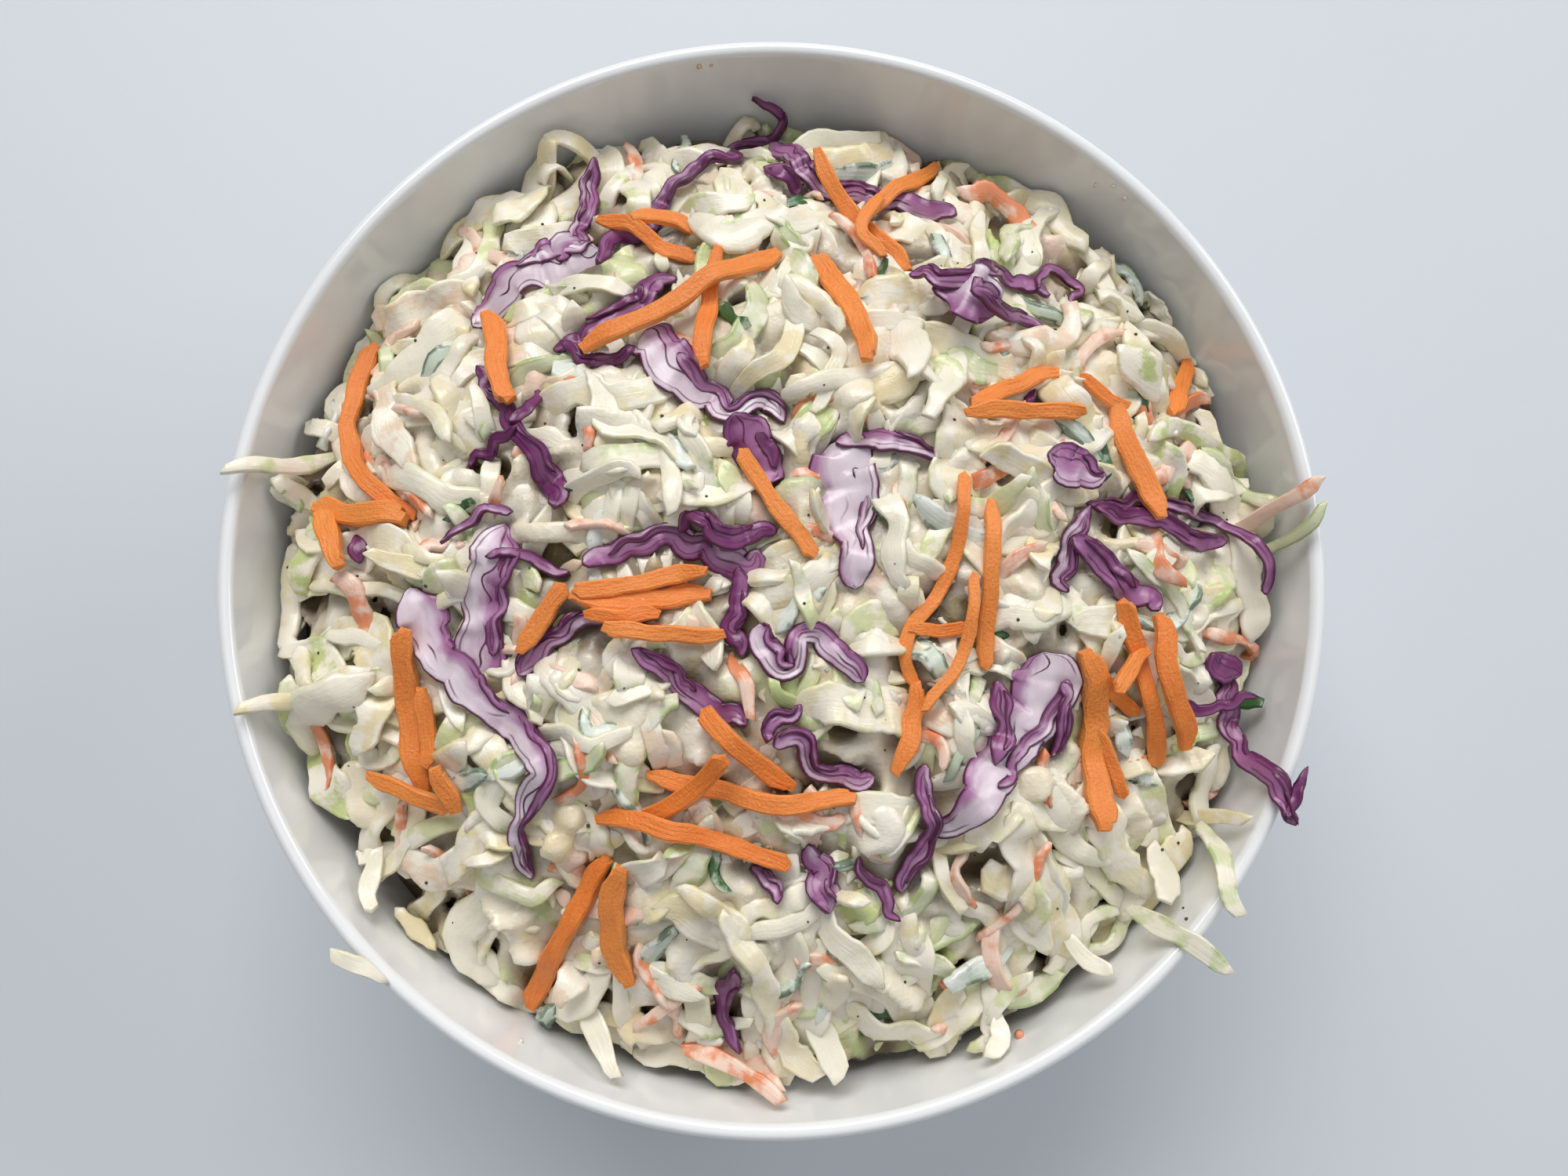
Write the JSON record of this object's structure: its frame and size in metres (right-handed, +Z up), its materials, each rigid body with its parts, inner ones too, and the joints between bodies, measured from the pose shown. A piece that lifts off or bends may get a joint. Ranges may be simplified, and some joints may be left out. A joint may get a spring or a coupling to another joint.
{
  "type": "coleslaw",
  "caption": "Round white porcelain bowl heaped with creamy dressed coleslaw, topped with raw carrot and red cabbage shreds.",
  "frame": {"origin": "centre of the foot ring's underside, on the surface that the bowl stands on", "axes": "+Z up through the middle of the bowl, +Y towards the back, where the salad lies lowest in the bowl, +X to the right"},
  "size_m": [0.155, 0.155, 0.0801],
  "materials": {
    "porcelain": "glazed white porcelain",
    "dressed_slaw": "cream dressing over white cabbage",
    "red_cabbage": "raw red cabbage",
    "carrot": "raw grated carrot"
  },
  "bodies": {
    "root": {"bowl": "porcelain", "slaw": "dressed_slaw", "carrot_back_left": "carrot", "carrot_back_long": "carrot", "carrot_back_middle": "carrot", "carrot_back_right": "carrot", "carrot_back_right_pair": "carrot", "carrot_back_upright": "carrot", "carrot_centre_bundle": "carrot", "carrot_centre_flat": "carrot", "carrot_centre_left": "carrot", "carrot_centre_slant": "carrot", "carrot_front_cross": "carrot", "carrot_front_flat": "carrot", "carrot_front_left": "carrot", "carrot_front_left_long": "carrot", "carrot_front_long": "carrot", "carrot_front_slant": "carrot", "carrot_left_bundle": "carrot", "carrot_left_low": "carrot", "carrot_left_thick": "carrot", "carrot_left_upright": "carrot", "carrot_right_edge": "carrot", "carrot_right_flat": "carrot", "carrot_right_fork": "carrot", "carrot_right_long": "carrot", "carrot_right_loop": "carrot", "carrot_right_pair": "carrot", "carrot_right_straight": "carrot", "carrot_right_thick": "carrot", "carrot_right_thin": "carrot", "carrot_right_upper": "carrot", "red_cabbage_chip_back_right": "red_cabbage", "red_cabbage_chip_left": "red_cabbage", "red_cabbage_comma_front": "red_cabbage", "red_cabbage_crumple_centre": "red_cabbage", "red_cabbage_curl_back": "red_cabbage", "red_cabbage_curl_front": "red_cabbage", "red_cabbage_fan_back": "red_cabbage", "red_cabbage_fold_back": "red_cabbage", "red_cabbage_fold_centre": "red_cabbage", "red_cabbage_fold_left": "red_cabbage", "red_cabbage_fold_right_back": "red_cabbage", "red_cabbage_fork_left": "red_cabbage", "red_cabbage_hook_front": "red_cabbage", "red_cabbage_knot_front_right": "red_cabbage", "red_cabbage_knot_right": "red_cabbage", "red_cabbage_leaf_back_left": "red_cabbage", "red_cabbage_leaf_centre": "red_cabbage", "red_cabbage_leaf_front_right": "red_cabbage", "red_cabbage_leaf_left": "red_cabbage", "red_cabbage_leaf_right": "red_cabbage", "red_cabbage_sliver_front": "red_cabbage", "red_cabbage_splinter_front": "red_cabbage", "red_cabbage_strand_back_hook": "red_cabbage", "red_cabbage_strand_back_right": "red_cabbage", "red_cabbage_strand_centre": "red_cabbage", "red_cabbage_strand_centre_left": "red_cabbage", "red_cabbage_strand_left": "red_cabbage", "red_cabbage_wave_centre": "red_cabbage"}
  },
  "joints": []
}
